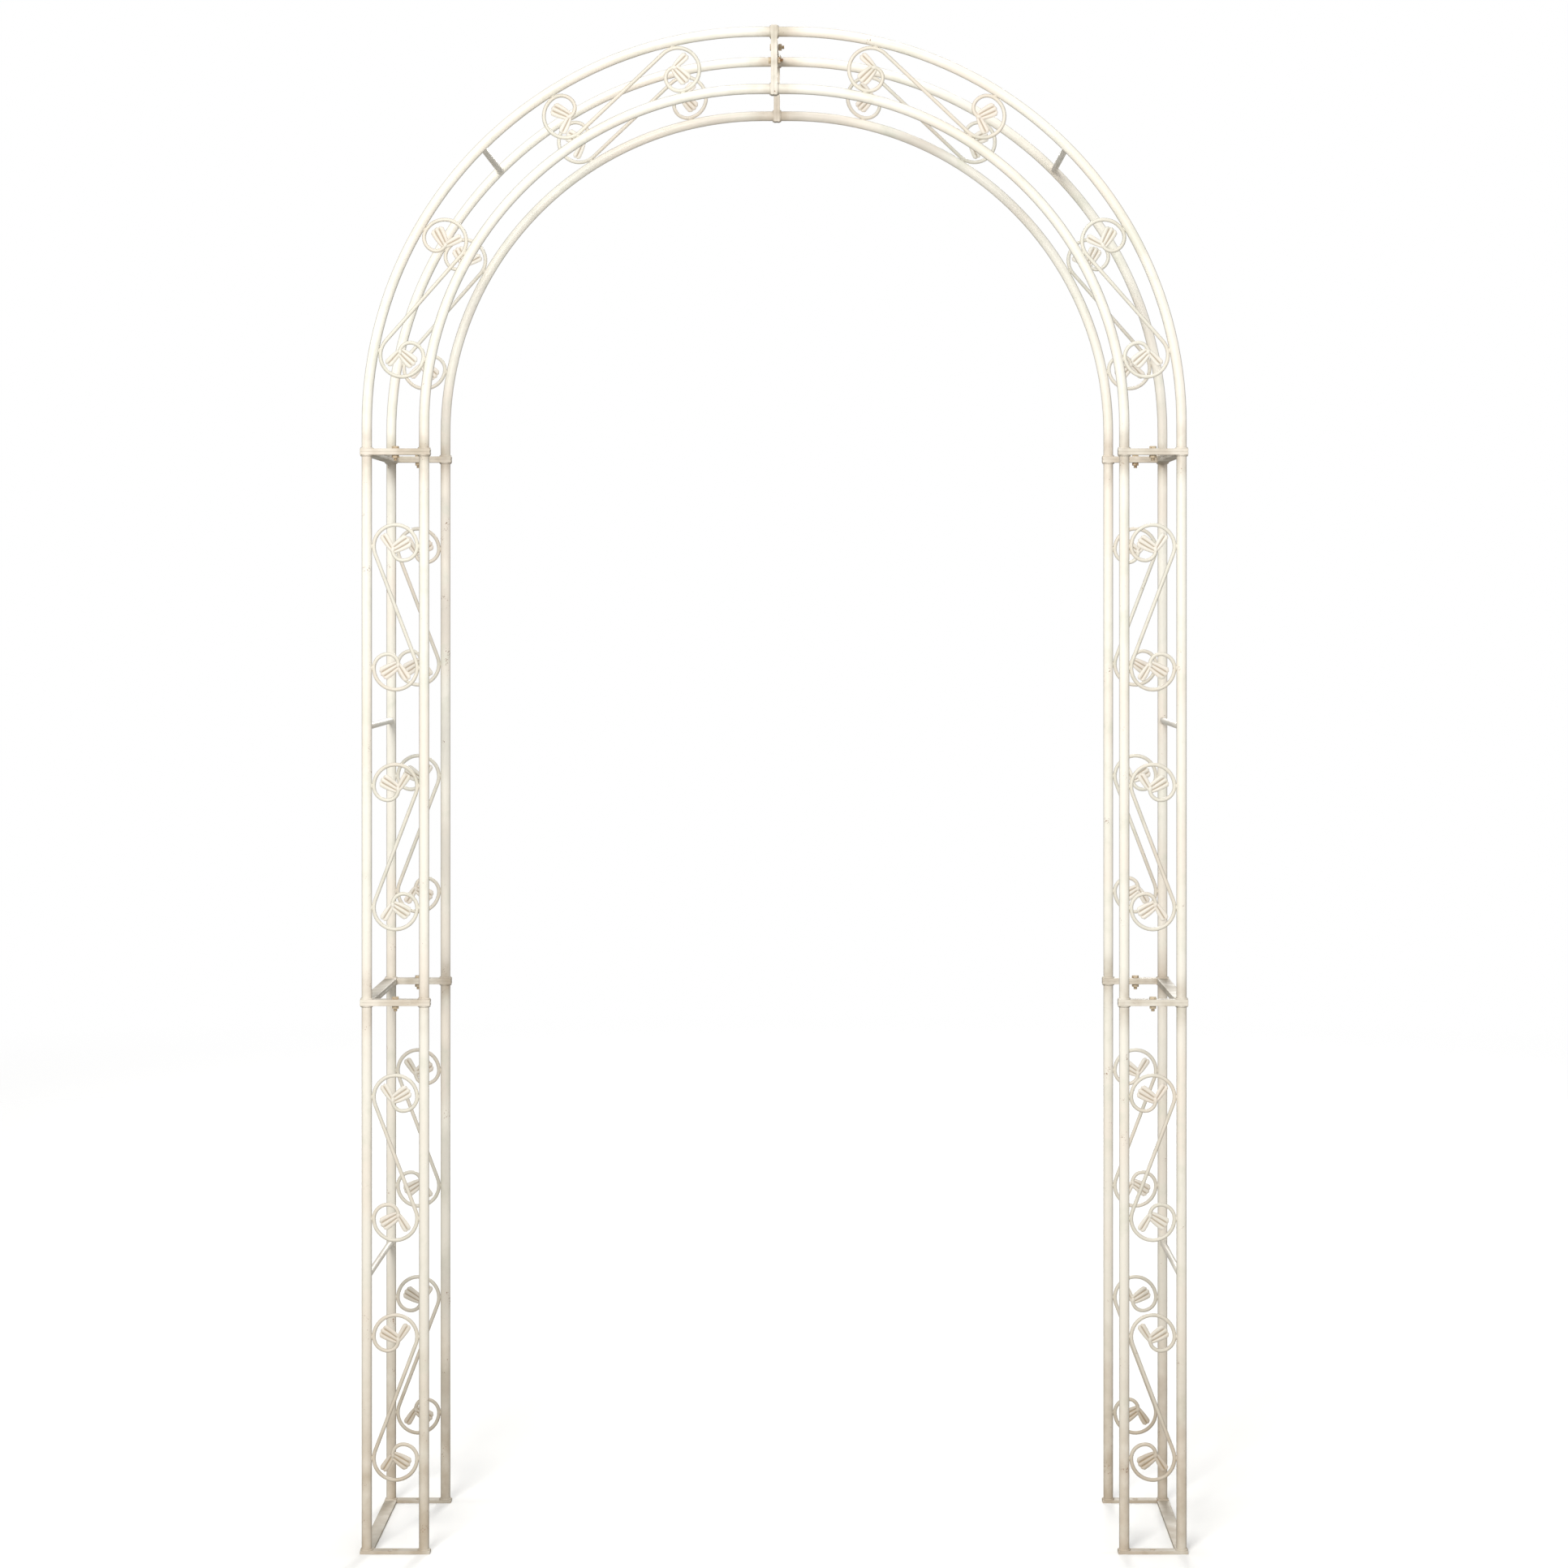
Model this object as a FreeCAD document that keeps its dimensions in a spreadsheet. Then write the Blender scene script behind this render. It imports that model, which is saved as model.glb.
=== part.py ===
import FreeCAD, Part
import math
import os
import Sketcher

# A knock-down garden arch of painted steel. Two lattice legs, each of a lower and an upper
# section, carry a hoop of two quarter sections. Every section has four tubular rails, a flat bar
# frame welded across each end, one cross rod between its outer rails, and flat S-scrolls of
# round wire in its front and back panels, whose ends carry folded leaves.
# Origin: on the ground, in the middle of the passage. +Z is up, +X to the right, -Y the front.

Vector = FreeCAD.Vector
UP = Vector(0, 0, 1)
ACROSS = Vector(1, 0, 0)
BACKWARD = Vector(0, 1, 0)
SIDES = {"left": -1, "right": 1}
FACES = {"front": -1, "back": 1}

SIZES = {
    # the whole arch
    "span": 1280,              # between the centres of the outer rails of the two legs
    "leg_section": 865,        # height of each leg section over its two end frames
    "depth_spacing": 350,      # between the front and the back rails, on centres
    "rail_spacing": 90,        # between an outer and an inner rail, on centres
    "arch_foot": 44,           # straight run of the hoop's rails above the leg, from the joint
    "arch_crown": 24,          # straight run of the hoop's rails at the top, to the joint
    # rails, bars and rods
    "rail_diameter": 16,
    "rail_wall": 1.5,
    "bar_width": 20,
    "bar_thick": 5,
    "rod_diameter": 10,
    # bolted joints
    "bolt_diameter": 6,
    "peg_diameter": 8,         # ground pegs through the feet
    "hole_clearance": 0.6,     # of every hole over its bolt or peg, on the diameter
    "bolt_spare": 4,           # thread that stands out of the nut
    "head_flats": 10,
    "head_height": 4,
    "nut_height": 5,
    # scrolls
    "wire_diameter": 6,
    "scroll_length": 265,
    "hoop_scroll_margin": 116,  # from a hoop section's end to its nearest scroll, round the hoop
    "curl_step": 12,           # how much tighter a loop's second bend is than its first
    "tip_step": 5.5,           # how much tighter again the last bend is, before the leaf
    # leaves: one narrow and one broad wing, spread from the end of the wire
    "leaf_thick": 3,
    "narrow_length": 29,
    "narrow_width": 12,
    "narrow_end_rise": 1.5,    # how far the curve at a wing's end rises above its corners
    "narrow_lean": 32,         # degrees from the wire's direction
    "broad_length": 31,
    "broad_width": 20,
    "broad_end_rise": 2.5,
    "broad_lean": 58,
    "vein_radius": 0.8,
}

# Veins fan out: where each starts across and along its wing, and how far it has spread at the
# corners, as shares of its place across the full width and of the height of the corners.
VEIN_START_ACROSS = 0.1
VEIN_START_ALONG = 0.25
VEIN_FAN = 0.9

# A swept wire whose volume is further than this from section times length has gone wrong.
SWEEP_TOLERANCE = 0.01

document = FreeCAD.newDocument("trellis_arch")
sheet = document.addObject("Spreadsheet::Sheet", "Sizes")
for row, (alias, value) in enumerate(SIZES.items(), start=1):
    sheet.set(f"A{row}", alias)
    sheet.set(f"B{row}", str(value))
    sheet.setAlias(f"B{row}", alias)
document.recompute()

OUTER_X = "Sizes.span / 2"
INNER_X = "(Sizes.span / 2 - Sizes.rail_spacing)"
MIDDLE_X = "(Sizes.span - Sizes.rail_spacing) / 2"
FACE_Y = "Sizes.depth_spacing / 2"
BEND_RADIUS = "(Sizes.span / 2 - Sizes.arch_crown)"
BEND_HEIGHT = "(2 * Sizes.leg_section + Sizes.arch_foot)"
BAR_LENGTH = "(Sizes.rail_spacing + Sizes.bar_width)"
DEPTH_BAR_LENGTH = "(Sizes.depth_spacing - Sizes.bar_width)"
BOLT_HOLE = "(Sizes.bolt_diameter + Sizes.hole_clearance)"
PEG_HOLE = "(Sizes.peg_diameter + Sizes.hole_clearance)"

nodes = []


def size(alias):
    """A driving dimension, read back from the sheet."""
    return float(sheet.get(alias))


def bind(thing, **expressions):
    """Tie properties of an object to the sheet."""
    for name, expression in expressions.items():
        thing.setExpression(name, expression)


def place(thing, x_expression, y_expression, z_expression, rotation=FreeCAD.Rotation()):
    """Stand an object at a place worked out from the sheet."""
    thing.Placement = FreeCAD.Placement(Vector(), rotation)
    thing.setExpression("Placement.Base.x", x_expression)
    thing.setExpression("Placement.Base.y", y_expression)
    thing.setExpression("Placement.Base.z", z_expression)


def keep(thing, label):
    """Give a sub-part the name of its node."""
    thing.Label = label
    nodes.append(thing)
    return thing


def sketch_on(body, role, name):
    """A sketch on one of the body's own origin planes."""
    plane = next(item for item in body.Origin.OriginFeatures if item.Role == role)
    sketch = body.newObject("Sketcher::SketchObject", name)
    sketch.AttachmentSupport = [(plane, "")]
    sketch.MapMode = "FlatFace"
    return sketch


def dimension(sketch, constraint, expression):
    """A dimension of a sketch that follows the sheet."""
    index = sketch.addConstraint(constraint)
    sketch.renameConstraint(index, f"size_{index}")
    sketch.setExpression(f".Constraints.size_{index}", expression)


def circle_at_origin(sketch, radius, expression):
    """A circle about the sketch's origin."""
    index = sketch.addGeometry(Part.Circle(Vector(), UP, radius), False)
    sketch.addConstraint(Sketcher.Constraint("Coincident", index, 3, -1, 1))
    dimension(sketch, Sketcher.Constraint("Radius", index, radius), expression)


def tube_section(body):
    """The ring that a rail's wall fills, square to the rail's lower end."""
    ring = sketch_on(body, "XY_Plane", f"{body.Name}_ring")
    outer = size("rail_diameter") / 2
    circle_at_origin(ring, outer, "Sizes.rail_diameter / 2")
    circle_at_origin(ring, outer - size("rail_wall"), "Sizes.rail_diameter / 2 - Sizes.rail_wall")
    return ring


def straight_rail(label):
    """A tube that fills the height between the two end frames of a leg section."""
    body = document.addObject("PartDesign::Body", label)
    pad = body.newObject("PartDesign::Pad", f"{label}_pad")
    pad.Profile = tube_section(body)
    bind(pad, Length="Sizes.leg_section - 2 * Sizes.bar_thick")
    return keep(body, label)


def curved_rail(label, radius, radius_expression):
    """A tube bent over a quarter circle, from the leg's joint to the joint at the crown."""
    body = document.addObject("PartDesign::Body", label)
    ring = tube_section(body)
    foot = size("arch_foot") - size("bar_thick")
    crown = size("arch_crown") - size("bar_thick")
    spine = sketch_on(body, "XZ_Plane", f"{label}_spine")
    rise = Part.LineSegment(Vector(0, 0), Vector(0, foot))
    bend = Part.Circle(Vector(radius, foot), UP, radius)
    level = Part.LineSegment(Vector(radius, foot + radius), Vector(radius + crown, foot + radius))
    spine.addGeometry(rise, False)
    spine.addGeometry(Part.ArcOfCircle(bend, math.pi / 2, math.pi), False)
    spine.addGeometry(level, False)
    spine.addConstraint(Sketcher.Constraint("Coincident", 0, 1, -1, 1))
    spine.addConstraint(Sketcher.Constraint("Vertical", 0))
    spine.addConstraint(Sketcher.Constraint("Tangent", 0, 2, 1, 2))
    spine.addConstraint(Sketcher.Constraint("Tangent", 1, 1, 2, 1))
    spine.addConstraint(Sketcher.Constraint("Horizontal", 2))
    dimension(spine, Sketcher.Constraint("Distance", 0, foot), "Sizes.arch_foot - Sizes.bar_thick")
    dimension(spine, Sketcher.Constraint("Radius", 1, radius), radius_expression)
    dimension(spine, Sketcher.Constraint("Distance", 2, crown), "Sizes.arch_crown - Sizes.bar_thick")
    pipe = body.newObject("PartDesign::AdditivePipe", f"{label}_pipe")
    pipe.Profile = ring
    pipe.Spine = (spine, ["Edge1", "Edge2", "Edge3"])
    return keep(body, label)


def drilled_bar(name, length, width, height, hole_axis, hole_size):
    """A flat bar about its own middle, with a hole through its thickness."""
    blank = document.addObject("Part::Box", f"{name}_blank")
    bind(blank, Length=length, Width=width, Height=height)
    place(blank, f"-{length} / 2", f"-{width} / 2", f"-{height} / 2")
    hole = document.addObject("Part::Cylinder", f"{name}_hole")
    bind(hole, Radius=f"{hole_size} / 2", Height="3 * Sizes.bar_thick")
    start = [f"-1.5 * {part} * Sizes.bar_thick" for part in hole_axis]
    place(hole, *start, FreeCAD.Rotation(UP, hole_axis))
    drilled = document.addObject("Part::Cut", f"{name}_drilled")
    drilled.Base = blank
    drilled.Tool = hole
    return drilled


def end_frame(label, x_sign, z_expression, hole_size=BOLT_HOLE):
    """Three bars lying flat: front, back and outer. The side towards the passage stays open."""
    bars = []
    for face, y_sign in FACES.items():
        cross = drilled_bar(f"{label}_{face}", BAR_LENGTH, "Sizes.bar_width", "Sizes.bar_thick",
                            UP, hole_size)
        place(cross, f"{x_sign} * {MIDDLE_X}", f"{y_sign} * {FACE_Y}", z_expression)
        bars.append(cross)
    outer = document.addObject("Part::Box", f"{label}_outer")
    bind(outer, Length="Sizes.bar_width", Width=DEPTH_BAR_LENGTH, Height="Sizes.bar_thick")
    place(outer, f"{x_sign} * {OUTER_X} - Sizes.bar_width / 2", f"-{DEPTH_BAR_LENGTH} / 2",
          f"{z_expression} - Sizes.bar_thick / 2")
    frame = document.addObject("Part::Compound", label)
    frame.Links = bars + [outer]
    return keep(frame, label)


def crown_frame(label, x_sign):
    """The same three bars upright across the top of the hoop, where its outer bar is drilled too."""
    x_expression = f"{x_sign} * Sizes.bar_thick / 2"
    top = f"{BEND_HEIGHT} + {BEND_RADIUS}"
    bars = []
    for face, y_sign in FACES.items():
        cross = drilled_bar(f"{label}_{face}", "Sizes.bar_thick", "Sizes.bar_width", BAR_LENGTH,
                            ACROSS, BOLT_HOLE)
        place(cross, x_expression, f"{y_sign} * {FACE_Y}", f"{top} - Sizes.rail_spacing / 2")
        bars.append(cross)
    outer = drilled_bar(f"{label}_outer", "Sizes.bar_thick", DEPTH_BAR_LENGTH, "Sizes.bar_width",
                        ACROSS, BOLT_HOLE)
    place(outer, x_expression, "0", top)
    frame = document.addObject("Part::Compound", label)
    frame.Links = bars + [outer]
    return keep(frame, label)


def cross_rod(label, x_expression, z_expression, lean):
    """A round rod between two outer rails, its ends cut hollow to sit on the tubes."""
    coped = document.addObject("Part::Cylinder", f"{label}_round")
    bind(coped, Radius="Sizes.rod_diameter / 2", Height="Sizes.depth_spacing")
    place(coped, "0", FACE_Y, "0", FreeCAD.Rotation(ACROSS, 90))
    for face, y_sign in FACES.items():
        cope = document.addObject("Part::Cylinder", f"{label}_cope_{face}")
        bind(cope, Radius="Sizes.rail_diameter / 2", Height="2 * Sizes.rod_diameter")
        place(cope, "0", f"{y_sign} * {FACE_Y}", "-Sizes.rod_diameter")
        cut = document.addObject("Part::Cut", f"{label}_coped_{face}")
        cut.Base = coped
        cut.Tool = cope
        coped = cut
    place(coped, x_expression, "0", z_expression, FreeCAD.Rotation(BACKWARD, lean))
    return keep(coped, label)


def hexagon(name, height, up):
    """A hexagonal head or nut that bears at its origin, its far corners cut back by a cone."""
    prism = document.addObject("Part::Prism", f"{name}_prism")
    prism.Polygon = 6
    bind(prism, Circumradius="Sizes.head_flats / sqrt(3)", Height=height)
    cone = document.addObject("Part::Cone", f"{name}_cone")
    bind(cone, Radius1=f"Sizes.head_flats / 2 + {height}", Radius2="Sizes.head_flats / 2", Height=height)
    common = document.addObject("Part::Common", f"{name}_common")
    common.Base = prism
    common.Tool = cone
    if not up:
        common.Placement = FreeCAD.Placement(Vector(), FreeCAD.Rotation(ACROSS, 180))
    return common


def bolt():
    """A hexagon bolt: it bears at its origin, head up, and holds two bars and a nut."""
    shank = document.addObject("Part::Cylinder", "bolt_shank")
    length = "(2 * Sizes.bar_thick + Sizes.nut_height + Sizes.bolt_spare)"
    bind(shank, Radius="Sizes.bolt_diameter / 2", Height=length)
    place(shank, "0", "0", f"-{length}")
    whole = document.addObject("Part::Fuse", "bolt")
    whole.Base = hexagon("bolt_head", "Sizes.head_height", True)
    whole.Tool = shank
    return whole


def nut():
    """A hexagon nut: it bears at its origin and hangs below."""
    bore = document.addObject("Part::Cylinder", "nut_bore")
    bind(bore, Radius="Sizes.bolt_diameter / 2", Height="3 * Sizes.nut_height")
    place(bore, "0", "0", "-2 * Sizes.nut_height")
    whole = document.addObject("Part::Cut", "nut")
    whole.Base = hexagon("nut_blank", "Sizes.nut_height", False)
    whole.Tool = bore
    return whole


class Loop:
    """One curl of a scroll: its centre, the way out of the scroll and the side that it curls to."""

    def __init__(self, centre, outward, side):
        self.centre = centre
        self.outward = outward
        self.side = side

    def point(self, along_side, along_outward, radius=0, degrees=0):
        """A point at an angle on a circle, given in the loop's own two directions."""
        across = along_side + radius * math.cos(math.radians(degrees))
        out = along_outward + radius * math.sin(math.radians(degrees))
        return self.centre + self.side * across + self.outward * out

    def arc(self, along_side, along_outward, radius, start, end):
        """A bend of the wire between two angles about a centre."""
        angles = (start, (start + end) / 2, end)
        return Part.Arc(*[self.point(along_side, along_outward, radius, angle) for angle in angles]).toShape()

    def leave_angle(self, normal):
        """Where the straight run leaves the loop, for the direction square to that run."""
        return math.degrees(math.atan2(normal.dot(self.outward), normal.dot(self.side))) % 360

    def tip(self):
        """The end of the wire, where the leaf starts."""
        return self.point(size("curl_step") - tip_radius(), -size("tip_step"))


def loop_radius():
    """A loop's wire touches the outer and the inner rail."""
    return (size("rail_spacing") - size("rail_diameter") - size("wire_diameter")) / 2


def curl_radius():
    """The second bend of a loop's wire starts where the wire touches the far rail."""
    return loop_radius() - size("curl_step")


def tip_radius():
    """The last bend of a loop's wire, up to the leaf."""
    return curl_radius() - size("tip_step")


def loop_reach():
    """From the centre of a scroll to the centre of each of its loops."""
    return size("scroll_length") / 2 - loop_radius() - size("wire_diameter") / 2


def curl_edges(loop, normal):
    """The bends of one loop, from the leaf to the straight run."""
    step = size("curl_step")
    return [
        loop.arc(step, -size("tip_step"), tip_radius(), -180, -90),
        loop.arc(step, 0, curl_radius(), -90, 0),
        loop.arc(0, 0, loop_radius(), 0, loop.leave_angle(normal)),
    ]


def scroll_wire(lower, upper):
    """A round wire bent into an S: two loops and the straight run that crosses between them."""
    gap = lower.centre - upper.centre
    across = (gap.cross(Vector(0, 1, 0))).normalize()
    if across.dot(upper.side) > 0:
        across = -across
    share = 2 * loop_radius() / gap.Length
    normal = Vector(gap).normalize() * share + across * math.sqrt(1 - share ** 2)
    upper_edges = curl_edges(upper, normal)
    lower_edges = curl_edges(lower, -normal)
    run = Part.makeLine(upper.centre + normal * loop_radius(), lower.centre - normal * loop_radius())
    path = Part.Wire(upper_edges + [run] + lower_edges[::-1])
    profile = Part.Wire(Part.Circle(upper.tip(), upper.outward, size("wire_diameter") / 2).toShape())
    solid = path.makePipeShell([profile], True, True)
    expected = path.Length * math.pi * size("wire_diameter") ** 2 / 4
    if abs(solid.Volume / expected - 1) > SWEEP_TOLERANCE:
        raise ValueError(f"a scroll holds {solid.Volume:.0f} cubic mm instead of {expected:.0f}")
    return solid


def leaf_wing(kind, lean, veins):
    """One wing of a leaf in the XZ plane: it widens from the wire and ends in a shallow curve."""
    length = size(f"{kind}_length")
    width = size(f"{kind}_width")
    corner = length - size(f"{kind}_end_rise")
    stem = size("wire_diameter") / 2
    half = width / 2
    half_thick = size("leaf_thick") / 2
    outline = [
        Part.makeLine(Vector(-stem, 0, 0), Vector(-half, 0, corner)),
        Part.Arc(Vector(-half, 0, corner), Vector(0, 0, length), Vector(half, 0, corner)).toShape(),
        Part.makeLine(Vector(half, 0, corner), Vector(stem, 0, 0)),
        Part.makeLine(Vector(stem, 0, 0), Vector(-stem, 0, 0)),
    ]
    wing = Part.Face(Part.Wire(outline)).extrude(Vector(0, size("leaf_thick"), 0))
    wing.translate(Vector(0, -half_thick, 0))
    for vein in range(veins):
        spread = ((vein + 1) / (veins + 1) - 0.5) * width
        direction = Vector(spread * VEIN_FAN, 0, corner)
        for face in (-half_thick, half_thick):
            start = Vector(spread * VEIN_START_ACROSS, face, corner * VEIN_START_ALONG)
            groove = Part.makeCylinder(size("vein_radius"), length, start, direction)
            wing = wing.cut(groove)
    wing.rotate(Vector(), Vector(0, 1, 0), lean)
    return wing


def leaf():
    """A folded leaf that stands on the end of a wire: the narrow wing left, the broad wing right."""
    whole = leaf_wing("narrow", -size("narrow_lean"), 1).fuse(leaf_wing("broad", size("broad_lean"), 2))
    reach = 2 * max(size("narrow_length"), size("broad_length"))
    below_wire_end = Part.makeBox(reach, reach, reach, Vector(-reach / 2, -reach / 2, -reach))
    return whole.removeSplitter().cut(below_wire_end)


def placed_leaf(pattern, loop):
    """The leaf stood on a loop's tip, its broad wing towards the side that the loop curls to."""
    through = loop.outward.cross(loop.side)
    tip = loop.tip()
    stand = FreeCAD.Matrix(loop.side.x, through.x, loop.outward.x, tip.x,
                           loop.side.y, through.y, loop.outward.y, tip.y,
                           loop.side.z, through.z, loop.outward.z, tip.z)
    copy = pattern.copy()
    copy.Placement = FreeCAD.Placement(stand)
    return copy


def straight_scroll(height, curls_inward):
    """The two loops of a scroll in a left leg, whose middle is at a height."""
    side = ACROSS if curls_inward else -ACROSS
    middle = Vector(-(size("span") - size("rail_spacing")) / 2, 0, height)
    return Loop(middle - UP * loop_reach(), -UP, -side), Loop(middle + UP * loop_reach(), UP, side)


def outer_radius():
    """The bend of the hoop's outer rails."""
    return size("span") / 2 - size("arch_crown")


def middle_radius():
    """The line that the hoop's scrolls follow, midway between its outer and inner rails."""
    return outer_radius() - size("rail_spacing") / 2


def hoop_loop(degrees, climbs, curls_inward):
    """One loop of a scroll in the left half of the hoop, at an angle about the hoop's centre."""
    turn = FreeCAD.Rotation(BACKWARD, degrees)
    radial = turn.multVec(-ACROSS)
    along = turn.multVec(UP)
    height = 2 * size("leg_section") + size("arch_foot")
    centre = Vector(-size("arch_crown"), 0, height) + radial * middle_radius()
    return Loop(centre, along if climbs else -along, -radial if curls_inward else radial)


def hoop_scroll(degrees, curls_inward):
    """The two loops of a scroll in the left half of the hoop, about an angle."""
    half = math.degrees(math.asin(loop_reach() / middle_radius()))
    return (hoop_loop(degrees - half, False, not curls_inward),
            hoop_loop(degrees + half, True, curls_inward))


def panels(label, scrolls, x_sign):
    """The scrolls and leaves of the front and back panels of one section, as two sub-parts."""
    pattern = leaf()
    turn = FreeCAD.Rotation(UP, 0 if x_sign < 0 else 180)
    wires = []
    leaves = []
    for y_sign in FACES.values():
        stand = FreeCAD.Placement(Vector(0, y_sign * size("depth_spacing") / 2, 0), turn)
        for lower, upper in scrolls:
            wires.append(scroll_wire(lower, upper).transformed(stand.toMatrix()))
            for loop in (lower, upper):
                leaves.append(placed_leaf(pattern, loop).transformed(stand.toMatrix()))
    for kind, shapes in (("scrolls", wires), ("leaves", leaves)):
        group = document.addObject("Part::Feature", f"{label}_{kind}")
        group.Shape = Part.makeCompound(shapes)
        keep(group, f"{label}_{kind}")


def leg_section(label, x_sign, bottom):
    """One section of a leg, with the number of sections below it."""
    floor = f"{bottom} * Sizes.leg_section"
    for face, y_sign in FACES.items():
        for row, x_expression in (("outer", OUTER_X), ("inner", INNER_X)):
            rail = straight_rail(f"{label}_{face}_{row}_rail")
            place(rail, f"{x_sign} * {x_expression}", f"{y_sign} * {FACE_Y}", f"{floor} + Sizes.bar_thick")
    hole_size = PEG_HOLE if bottom == 0 else BOLT_HOLE
    end_frame(f"{label}_bottom_frame", x_sign, f"{floor} + Sizes.bar_thick / 2", hole_size)
    end_frame(f"{label}_top_frame", x_sign, f"{floor} + Sizes.leg_section - Sizes.bar_thick / 2")
    cross_rod(f"{label}_cross_rod", f"{x_sign} * {OUTER_X}", f"{floor} + Sizes.leg_section / 2", 0)
    even_gap = (size("leg_section") - 2 * size("scroll_length")) / 3
    inset = even_gap + size("scroll_length") / 2
    low = bottom * size("leg_section") + inset
    high = (bottom + 1) * size("leg_section") - inset
    panels(label, [straight_scroll(low, False), straight_scroll(high, True)], x_sign)


def hoop_section(label, x_sign):
    """One quarter of the hoop."""
    foot = "2 * Sizes.leg_section"
    turn = FreeCAD.Rotation(UP, 0 if x_sign < 0 else 180)
    rows = (
        ("outer", OUTER_X, outer_radius(), BEND_RADIUS),
        ("inner", INNER_X, outer_radius() - size("rail_spacing"), f"{BEND_RADIUS} - Sizes.rail_spacing"),
    )
    for face, y_sign in FACES.items():
        for row, x_expression, radius, radius_expression in rows:
            rail = curved_rail(f"{label}_{face}_{row}_rail", radius, radius_expression)
            place(rail, f"{x_sign} * {x_expression}", f"{y_sign} * {FACE_Y}",
                  f"{foot} + Sizes.bar_thick", turn)
    end_frame(f"{label}_bottom_frame", x_sign, f"{foot} + Sizes.bar_thick / 2")
    crown_frame(f"{label}_crown_frame", x_sign)
    cross_rod(f"{label}_cross_rod", f"{x_sign} * (Sizes.arch_crown + {BEND_RADIUS} * cos(45))",
              f"{BEND_HEIGHT} + {BEND_RADIUS} * sin(45)", -45 * x_sign)
    inset = size("hoop_scroll_margin") + size("scroll_length") / 2
    low = math.degrees((inset - size("arch_foot")) / middle_radius())
    high = 90 - math.degrees((inset - size("arch_crown")) / middle_radius())
    panels(label, [hoop_scroll(low, False), hoop_scroll(high, True)], x_sign)


def joints():
    """Where each bolt crosses a joint, and which way its head looks."""
    places = []
    face = size("depth_spacing") / 2
    for x_sign in SIDES.values():
        for level in (1, 2):
            for y_sign in FACES.values():
                middle = x_sign * (size("span") - size("rail_spacing")) / 2
                places.append((Vector(middle, y_sign * face, level * size("leg_section")), UP))
    top = 2 * size("leg_section") + size("arch_foot") + outer_radius()
    for y_sign in FACES.values():
        places.append((Vector(0, y_sign * face, top - size("rail_spacing") / 2), -ACROSS))
    places.append((Vector(0, 0, top), -ACROSS))
    return places


def fasteners():
    """All the bolts as one sub-part and all the nuts as another."""
    patterns = {"joint_bolts": (bolt(), 1), "joint_nuts": (nut(), -1)}
    document.recompute()
    for label, (pattern, way) in patterns.items():
        copies = []
        for point, head in joints():
            bearing = point + head * (way * size("bar_thick"))
            stand = FreeCAD.Placement(bearing, FreeCAD.Rotation(UP, head))
            copies.append(pattern.Shape.transformed(stand.toMatrix()))
        group = document.addObject("Part::Feature", label)
        group.Shape = Part.makeCompound(copies)
        keep(group, label)


def check_and_write():
    """Stop on any failed object; otherwise write each sub-part to its own file."""
    for thing in document.Objects:
        if "Invalid" in thing.State or "Error" in thing.State:
            raise ValueError(f"{thing.Label} failed: {thing.State}")
    for node in nodes:
        if node.Shape.isNull() or not node.Shape.isValid():
            raise ValueError(f"{node.Label} has no valid shape")
    os.makedirs("parts", exist_ok=True)
    for node in nodes:
        node.Shape.exportStep(f"parts/{node.Label}.step")
        print(node.Label, len(node.Shape.Solids), "solids", round(node.Shape.Volume), "cubic mm")


for side_name, side_sign in SIDES.items():
    leg_section(f"{side_name}_lower_leg", side_sign, 0)
    leg_section(f"{side_name}_upper_leg", side_sign, 1)
    hoop_section(f"{side_name}_hoop", side_sign)
fasteners()
document.recompute()
check_and_write()
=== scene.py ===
# %% [markdown]
# # A garden arch of painted steel
#
# The arch is a kit: two lattice legs of two sections each, and a hoop of two quarters. Every
# section is tube, flat bar and bent wire, welded and then painted cream, and the sections are
# bolted together through flat bars at their ends. This lesson starts from the measured model
# and adds what a measured model leaves out: rounded edges on the bars, weld beads, pressed
# leaves, real bolts, and paint that has stood in a garden for some years.

# %% Load the measured model
import math

import bmesh
import bpy
from mathutils import Matrix, Vector


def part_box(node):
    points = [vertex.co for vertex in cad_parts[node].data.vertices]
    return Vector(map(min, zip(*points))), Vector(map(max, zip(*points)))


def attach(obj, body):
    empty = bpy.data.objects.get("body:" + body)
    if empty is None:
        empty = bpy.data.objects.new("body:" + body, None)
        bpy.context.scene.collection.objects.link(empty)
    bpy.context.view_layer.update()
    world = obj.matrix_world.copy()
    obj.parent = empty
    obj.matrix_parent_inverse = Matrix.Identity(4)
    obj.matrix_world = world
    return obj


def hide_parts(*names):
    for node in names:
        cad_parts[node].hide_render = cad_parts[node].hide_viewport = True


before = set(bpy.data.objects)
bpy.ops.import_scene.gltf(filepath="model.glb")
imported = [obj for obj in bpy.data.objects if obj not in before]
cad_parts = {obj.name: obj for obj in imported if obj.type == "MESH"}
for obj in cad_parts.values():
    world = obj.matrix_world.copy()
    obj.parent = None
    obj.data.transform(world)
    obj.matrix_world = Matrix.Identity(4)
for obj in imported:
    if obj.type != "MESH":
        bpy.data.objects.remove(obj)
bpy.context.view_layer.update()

# %% [markdown]
# ## Looking at it
#
# An arch this tall is seen from about six metres away. A long lens keeps its legs parallel, and
# the camera stays level so that upright rails stay upright. To bring the whole arch into a
# level view, the lens is shifted down, as on an architect's camera.

# %% Camera
EYE = (0.08, -6.375, 1.5)
FOCAL_LENGTH = 90.6
FILM_WIDTH = 36
SHIFT_ACROSS = -0.0262
SHIFT_DOWN = -0.1185

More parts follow.
